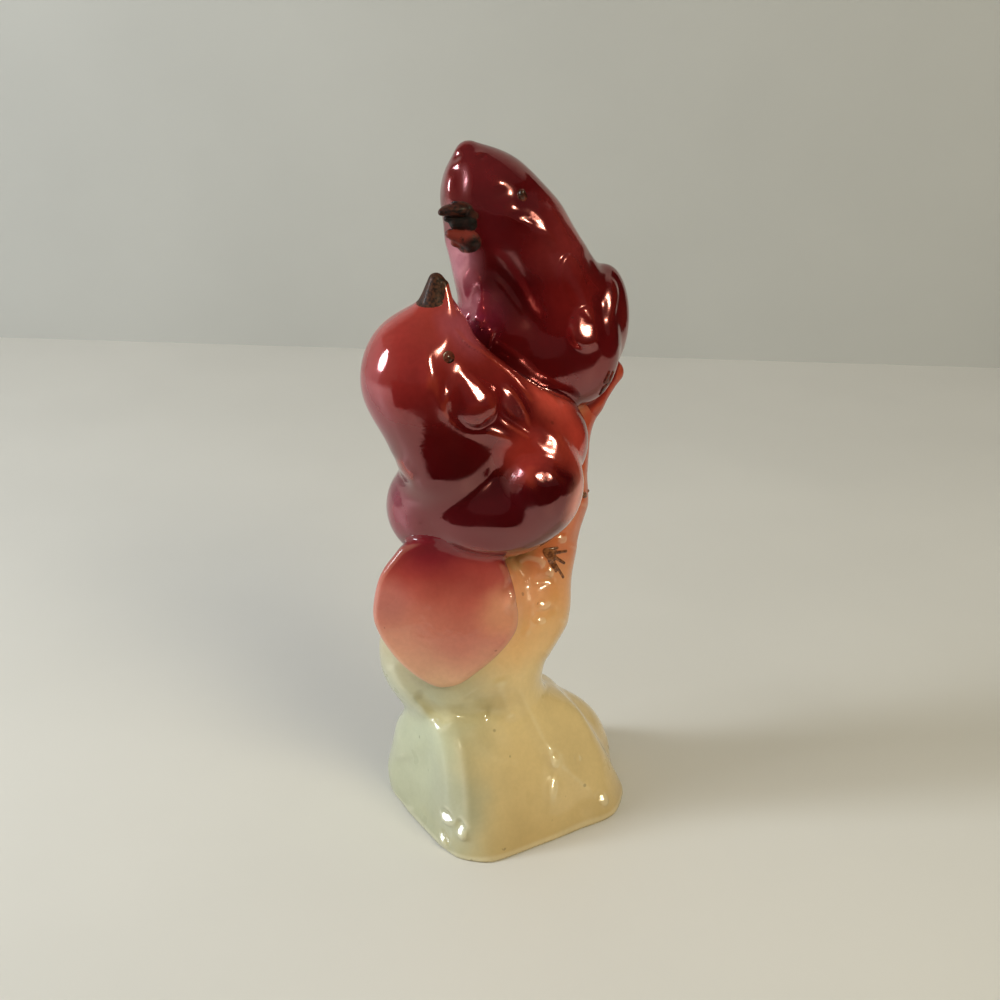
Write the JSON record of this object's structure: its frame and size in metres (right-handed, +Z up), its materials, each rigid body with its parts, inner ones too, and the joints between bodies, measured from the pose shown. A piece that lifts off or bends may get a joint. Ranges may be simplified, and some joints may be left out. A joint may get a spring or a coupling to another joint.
{
  "type": "bird figurine",
  "caption": "Glazed ceramic figurine of a pair of birds perched on a tree stump, one with its head thrown back and one with an open beak, on a spreading rooted base with a hollow foot.",
  "frame": {"origin": "middle of the whole figurine's box, on the plane that the foot rests on", "axes": "+Z up along the stump, -Y towards the front of the base, +X to the right seen from the front"},
  "size_m": [0.0702, 0.0614, 0.1654],
  "materials": {
    "glaze_cream": "gloss cream glaze, warming to tan and peach up the trunk",
    "glaze_salmon": "gloss salmon glaze, speckled",
    "glaze_russet": "gloss orange-red glaze",
    "glaze_rose": "gloss rose-red glaze breaking orange on the ridges",
    "glaze_maroon": "gloss maroon glaze",
    "paint_brown_beak": "brushed brown underglaze paint, gloss",
    "paint_brown_eye": "brown underglaze dot, gloss",
    "paint_brown_foot": "brown underglaze brush strokes, gloss"
  },
  "bodies": {
    "root": {"stump_base": "glaze_cream", "limb_end_disc": "glaze_salmon", "twig_stub": "glaze_russet", "lower_bird_body": "glaze_rose", "lower_bird_tail": "glaze_rose", "lower_bird_beak": "paint_brown_beak", "lower_bird_eye_left": "paint_brown_eye", "lower_bird_eye_right": "paint_brown_eye", "lower_bird_foot_left": "paint_brown_foot", "lower_bird_foot_right": "paint_brown_foot", "upper_bird_body": "glaze_maroon", "upper_bird_tail": "glaze_maroon", "upper_bird_beak_upper": "paint_brown_beak", "upper_bird_beak_lower": "paint_brown_beak", "upper_bird_eye_left": "paint_brown_eye", "upper_bird_eye_right": "paint_brown_eye", "upper_bird_foot": "paint_brown_foot"}
  },
  "joints": []
}
